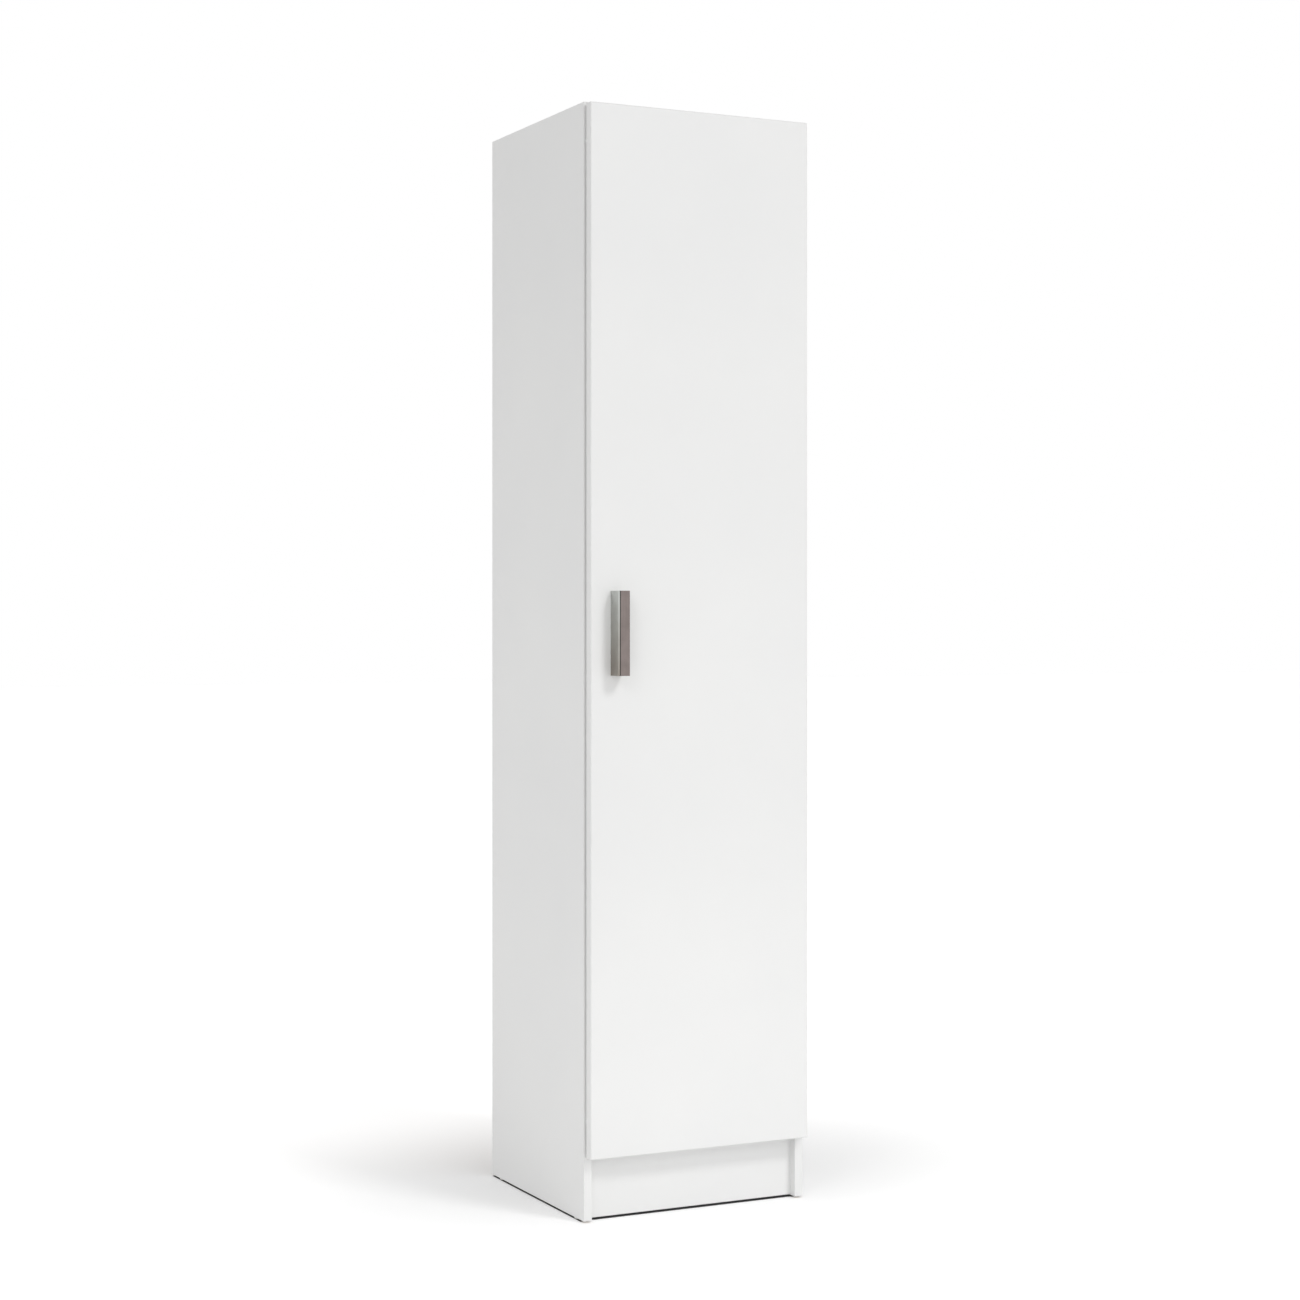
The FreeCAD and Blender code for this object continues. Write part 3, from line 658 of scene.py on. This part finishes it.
# %% Plastic and wood finishes
plastic_white = (0.80, 0.80, 0.785, 1)
plastic_shade = (0.76, 0.76, 0.75, 1)
dot_colour = (0.78, 0.79, 0.79, 1)
dot_shade = (0.73, 0.74, 0.74, 1)
dot_clearness = 0.1
plastic_clouds = 35.0
plastic_rough_half = 0.05
beech_dark = (0.42, 0.26, 0.14, 1)
beech_light = (0.62, 0.43, 0.26, 1)
beech_grain = (60, 1500, 1500)
beech_rough = (0.55, 0.7)
beech_relief = 0.00005


def moulded(name, light, shade, rough, grain_per_metre, depth):
    """Plastic or rubber with a fine even grain."""
    material, tree, shader, where, _ = start_finish(name)
    grain = noise(tree, where, grain_per_metre, rough=0.6)
    cloud = spread(tree, noise(tree, where, plastic_clouds))
    matt = spread(tree, grain, rough - plastic_rough_half, rough + plastic_rough_half)
    lay_on(tree, shader, mix(tree, cloud, light, shade), matt)
    relief(tree, shader, grain, depth)
    return material


def beech():
    """Pale wood whose grain runs along the dowels."""
    material, tree, shader, where, _ = start_finish("beech")
    grain = streaks(tree, where, beech_grain, detail=4.0, rough=0.6)
    colour = mix(tree, spread(tree, grain), beech_dark, beech_light)
    lay_on(tree, shader, colour, spread(tree, grain, *beech_rough))
    relief(tree, shader, grain, beech_relief)
    return material


white_plastic = moulded("white_plastic", plastic_white, plastic_shade,
                        rough=0.42, grain_per_metre=2200.0, depth=0.00003)
soft_dot = moulded("soft_dot", dot_colour, dot_shade,
                   rough=0.25, grain_per_metre=3000.0, depth=0.000003)
dot_shader = soft_dot.node_tree.nodes["Principled BSDF"]
dot_shader.inputs["Transmission Weight"].default_value = dot_clearness
print("plastics:", white_plastic.name, soft_dot.name)

# %% [markdown]
# Giving each node its finish
#
# The frame's record names a material slot for every node, so the nodes that are left can be dressed
# in one loop. The boards and the back are done already, and the two poles of the catch are bare
# steel, so they get the ground finish.

# %% Finishes by slot
finish_of_slot = {
    "cast_zinc": cast_zinc,
    "plated_steel": zinc_plate,
    "hinge_nickel": hinge_nickel,
    "brushed_nickel": brushed_nickel,
    "beech": beech(),
    "white_plastic": white_plastic,
    "soft_bumper": soft_dot,
}
slot_of_node = {part["node"]: part["material_slot"] for part in frame["record"]["subparts"]}
for node, slot in slot_of_node.items():
    if slot in finish_of_slot:
        dress(node, finish_of_slot[slot])
dress("catch_poles", ground_steel)
print("finishes by slot:", sorted(finish_of_slot))

# %% [markdown]
# Finding the small fittings
#
# The frame draws screws, cams and caps with a few flats, which is enough to carry load and to fill
# a hole. Seen close they want to be round. Each node of small fittings holds several loose solids,
# so the first helper takes a copy of the node's mesh, welds it, and returns the box of each loose
# solid. The last one turns those boxes into places, so that a round piece can be put exactly where
# the frame has the flat-sided one, looking the same way and with the same radius and length.

# %% Boxes and places of the loose solids in a node
weld_distance = 1e-6


def loose_boxes(node):
    """The lowest and highest corner of each separate solid in a node."""
    mesh = bmesh.new()
    mesh.from_mesh(frame["nodes"][node].data)
    bmesh.ops.remove_doubles(mesh, verts=mesh.verts, dist=weld_distance)
    waiting = set(mesh.verts)
    boxes = []
    while waiting:
        group = [waiting.pop()]
        for vertex in group:
            for edge in vertex.link_edges:
                other = edge.other_vert(vertex)
                if other in waiting:
                    waiting.discard(other)
                    group.append(other)
        spans = list(zip(*(vertex.co for vertex in group)))
        low = Vector([min(span) for span in spans])
        high = Vector([max(span) for span in spans])
        boxes.append((low, high))
    mesh.free()
    return sorted(boxes, key=lambda pair: tuple(pair[0]))


def standing(spot, direction):
    """The place of a pattern whose own +Z is to point along a direction."""
    return Matrix.Translation(spot) @ Vector(direction).to_track_quat("Z", "Y").to_matrix().to_4x4()


def sites(node, side, sunk=0.0):
    """The places of a node's loose solids, and their common radius and length.

    A place lies in the middle of the end that looks to the named side, sunk by a depth below it,
    and its +Z points out of that end.
    """
    axis, sign = axis_and_sign(side)
    boxes = loose_boxes(node)
    places = []
    for low, high in boxes:
        spot = (low + high) / 2
        spot[axis] = (high if sign > 0 else low)[axis] - sign * sunk
        places.append(standing(spot, direction_of(side)))
    size = boxes[0][1] - boxes[0][0]
    return places, size[(axis + 1) % 3] / 2, size[axis]


for node in ("cam_locks", "hinge_plate_screws", "floor_glides"):
    print(node, "holds", len(loose_boxes(node)), "solids")

# %% [markdown]
# Turning round pieces
#
# A screw, a cap or a cam is a turned form: half a section spun about its axis. The lathe helper
# takes the section as pairs of radius and height and joins rings of points, which gives clean quads
# and lets the rounding of an edge be part of the section.

# %% Lathe
ring_points = 48


def lathe(profile):
    """A closed turned mesh; profile lists (radius, height) and starts and ends on the axis."""
    mesh = bmesh.new()
    turns = [2 * math.pi * index / ring_points for index in range(ring_points)]
    rings = []
    for radius, level in profile:
        if radius == 0:
            rings.append([mesh.verts.new((0, 0, level))])
        else:
            rings.append([mesh.verts.new((radius * math.cos(turn), radius * math.sin(turn), level))
                          for turn in turns])
    for lower, upper in zip(rings, rings[1:]):
        for index in range(ring_points):
            corners = [lower[index % len(lower)], lower[(index + 1) % len(lower)],
                       upper[(index + 1) % len(upper)], upper[index % len(upper)]]
            mesh.faces.new(list(dict.fromkeys(corners)))
    bmesh.ops.recalc_face_normals(mesh, faces=mesh.faces)
    return mesh


def quarter_turn(steps):
    """Angles from 0 to 90 degrees, for drawing a rounded rim."""
    return [math.radians(90) * index / steps for index in range(steps + 1)]


def as_object(name, mesh):
    """A linked object from a bmesh, which is freed."""
    data = bpy.data.meshes.new(name)
    mesh.to_mesh(data)
    mesh.free()
    made = bpy.data.objects.new(name, data)
    bpy.context.scene.collection.objects.link(made)
    return made


print("lathe turns with", ring_points, "points")

# %% [markdown]
# The driver's recess
#
# All screws and cams here are turned with a cross-head driver. A cross-shaped hole in a dome is
# tedious to join by hand, so it is cut with a boolean: two crossed bars that narrow downwards, as
# the tip of the driver does.

# %% Cross recess


def bar_mesh(half_width, half_length, low, high, taper):
    """A tapered bar for cutting one arm of a recess; it narrows downwards."""
    mesh = bmesh.new()
    corners = [(-1, -1), (1, -1), (1, 1), (-1, 1)]
    rings = []
    for level, share in ((low, taper), (high, 1.0)):
        rings.append([mesh.verts.new((x * half_width * share, y * half_length * share, level))
                      for x, y in corners])
    mesh.faces.new(rings[0])
    mesh.faces.new(rings[1])
    for index in range(4):
        after = (index + 1) % 4
        mesh.faces.new([rings[0][index], rings[0][after], rings[1][after], rings[1][index]])
    bmesh.ops.recalc_face_normals(mesh, faces=mesh.faces)
    return mesh


def cut_cross(body, web, arm, low, high, taper):
    """The body with a cross cut into it; web and arm are half the width and length of a bar."""
    bars = [as_object("recess", bar_mesh(web, arm, low, high, taper)),
            as_object("recess", bar_mesh(arm, web, low, high, taper))]
    for bar in bars:
        hole = body.modifiers.new("cut", "BOOLEAN")
        hole.operation = "DIFFERENCE"
        hole.solver = "EXACT"
        hole.object = bar
    evaluated = body.evaluated_get(bpy.context.evaluated_depsgraph_get())
    shaped = bpy.data.meshes.new_from_object(evaluated)
    body.modifiers.clear()
    body.data = shaped
    for bar in bars:
        bpy.data.objects.remove(bar)
    return body


print("recess helper ready")

# %% [markdown]
# Setting the round pieces out
#
# One pattern serves all fittings of a node. Its copies are joined into one piece that rides on the
# node's body, stands for the node and has its finish. Smooth shading hides the small facets of the
# lathe, and edges sharper than a limit stay sharp, or a flat head would look like a dome.

# %% Copies of a pattern
sharp_from = math.radians(35)


def shade(piece):
    """Smooth shading that keeps sharp edges."""
    for face in piece.data.polygons:
        face.use_smooth = True
    piece.data.set_sharp_from_angle(angle=sharp_from)


def set_out(node, pattern, places):
    """One piece made of copies of a pattern at several places, standing for a node of the frame."""
    mesh = bmesh.new()
    for place in places:
        data = pattern.data.copy()
        data.transform(place)
        mesh.from_mesh(data)
        bpy.data.meshes.remove(data)
    piece = as_object(node + "_round", mesh)
    slot = slot_of_node[node]
    piece.data.materials.append(finish_of_slot[slot])
    shade(piece)
    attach(piece, frame["nodes"][node]["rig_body"])
    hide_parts(node)
    bpy.data.objects.remove(pattern)
    print(piece.name, len(places), "copies,", len(piece.data.polygons), "faces")


print("edges stay sharp from", round(math.degrees(sharp_from)), "degrees")

# %% [markdown]
# Screws
#
# Most screws here are cross-head screws with a low dome. What shows is the head; the shank sits in
# its hole. The section therefore draws the head with a rounded rim, the seat under it and a plain
# shank. The head's radius and the whole length come from each node's own box, so the round screw
# never stands out further than the one it replaces. The dome is a list of shares: how far out on
# the head's radius each point lies, and how far up its height.

# %% Screws with a domed head
rim_share = 0.35
rim_in = 0.3
rim_up = 0.4
dome_shares = [(1.0, rim_share), (0.93, 0.72), (0.74, 0.92), (0.45, 1.0), (0, 1.0)]
tip_share = 0.35
head_web = 0.15
head_arm = 0.62
head_recess_floor = 0.25
above_head = 1.2
head_taper = 0.55


def screw_pattern(head_radius, head_height, radius, length):
    """A screw along +Z: the seat is at 0, the dome above it, the shank below."""
    rim = head_height * rim_share
    shank = [(0, -length), (radius * tip_share, -length), (radius, -length + radius), (radius, 0)]
    seat = [(head_radius - rim * rim_in, 0), (head_radius, rim * rim_up)]
    dome = [(head_radius * out, head_height * up) for out, up in dome_shares]
    screw = as_object("screw_pattern", lathe(shank + seat + dome))
    return cut_cross(screw, head_radius * head_web, head_radius * head_arm,
                     head_height * head_recess_floor, head_height * above_head, head_taper)


def round_screws(node, side, head_height, shank_radius):
    """Replaces a node of flat-sided screws; side is the direction that its heads look."""
    places, head_radius, whole_length = sites(node, side, sunk=head_height)
    pattern = screw_pattern(head_radius, head_height, shank_radius, whole_length - head_height)
    set_out(node, pattern, places)


round_screws("hinge_plate_screws", "-X", head_height=0.0020, shank_radius=0.0025)
round_screws("hinge_clamp_screws", "-X", head_height=0.0026, shank_radius=0.0029)
round_screws("hinge_cup_screws", "+Y", head_height=0.0018, shank_radius=0.0016)
round_screws("catch_screws", "+X", head_height=0.0018, shank_radius=0.0016)
round_screws("wall_bracket_screws", "-Z", head_height=0.0018, shank_radius=0.0016)
round_screws("handle_screws", "+Y", head_height=0.0024, shank_radius=0.0020)

# %% [markdown]
# Grub screws and countersunk screws
#
# Two kinds have no dome. The adjusting screw in each hinge arm is a grub screw, a short threaded
# pin with the recess in its end, and the two in the strike plate are countersunk, with a flat head
# level with the steel.

# %% Grub and countersunk screws
grub_chamfer = 0.15
grub_web = 0.16
grub_arm = 0.7
grub_recess = 0.8
grub_taper = 0.8
sunk_depth = 0.0015
sunk_edge = 0.0001
sunk_web = 0.13
sunk_arm = 0.6
sunk_taper = 0.6


def grub_pattern(radius, length):
    """A headless screw whose top is at 0, with a small chamfer and a cross recess."""
    chamfer = radius * grub_chamfer
    profile = [(0, -length), (radius, -length), (radius, -chamfer), (radius - chamfer, 0), (0, 0)]
    deep = radius * grub_recess
    grub = as_object("grub_pattern", lathe(profile))
    return cut_cross(grub, radius * grub_web, radius * grub_arm, -deep, deep, grub_taper)


def sunk_pattern(head_radius, length):
    """A countersunk screw whose flat head is at 0."""
    radius = head_radius - sunk_depth
    profile = [(0, -length), (radius, -length), (radius, -sunk_depth),
               (head_radius, -sunk_edge), (head_radius - sunk_edge, 0), (0, 0)]
    sunk = as_object("sunk_pattern", lathe(profile))
    return cut_cross(sunk, head_radius * sunk_web, head_radius * sunk_arm,
                     -sunk_depth, sunk_depth, sunk_taper)


for node, side, pattern_of in (("hinge_adjusting_screws", "-X", grub_pattern),
                               ("strike_screws", "+Y", sunk_pattern)):
    places, radius, length = sites(node, side)
    set_out(node, pattern_of(radius, length), places)

# %% [markdown]
# Cams and their caps
#
# A cam lock is a zinc drum with a cross slot for the driver. The ones under the top and the shelf
# are hidden by thin white caps with a softened rim; the ones under the base stay open, because no
# one looks there. A cap must look moulded, so its rim is a quarter round drawn with a few points.

# %% Cams, caps
cap_thick = 0.0008
cap_rim = 0.0006
cap_steps = 5
cam_edge = 0.0004
cam_web = 0.0010
cam_arm = 0.0042
cam_recess = 0.003
cam_taper = 0.8

places, radius, _ = sites("cam_caps", "-Z", sunk=cap_thick)
rim = [(radius - cap_rim + cap_rim * math.cos(turn), cap_thick - cap_rim + cap_rim * math.sin(turn))
       for turn in quarter_turn(cap_steps)]
cap_section = [(0, 0), (radius, 0)] + rim + [(0, cap_thick)]
set_out("cam_caps", as_object("cap_pattern", lathe(cap_section)), places)

places, radius, length = sites("cam_locks", "-Z")
cam_section = [(0, -length), (radius, -length), (radius, -cam_edge), (radius - cam_edge, 0), (0, 0)]
cam = as_object("cam_pattern", lathe(cam_section))
cam = cut_cross(cam, cam_web, cam_arm, -cam_recess, cam_recess, cam_taper)
set_out("cam_locks", cam, places)

# %% [markdown]
# Glides and bumpers
#
# The glides are white plastic feet with a bevelled tread and a peg pressed into the board, and the
# two bumpers are small clear domes on the free side's front edge that stop the door from clapping.
# A bumper's dome starts above a short straight wall and is fuller than a quarter circle, as a drop
# of soft plastic is.

# %% Glides, bumpers
glide_bevel = 0.001
glide_tall = 0.0025
peg_radius = 0.0015
bumper_steps = 8
bumper_fullness = 0.6
dome_share = 0.75

places, radius, length = sites("floor_glides", "-Z")
glide_section = [(0, 0), (radius - glide_bevel, 0), (radius, -glide_bevel), (radius, -glide_tall),
                 (peg_radius, -glide_tall), (peg_radius, -length), (0, -length)]
set_out("floor_glides", as_object("glide_pattern", lathe(glide_section)), places)

places, radius, length = sites("door_bumpers", "-Y")
dome = [(radius * math.cos(turn) ** bumper_fullness, length * dome_share * (math.sin(turn) - 1))
        for turn in quarter_turn(bumper_steps)[:-1]]
bumper_section = [(0, -length), (radius, -length)] + dome + [(0, 0)]
set_out("door_bumpers", as_object("bumper_pattern", lathe(bumper_section)), places)
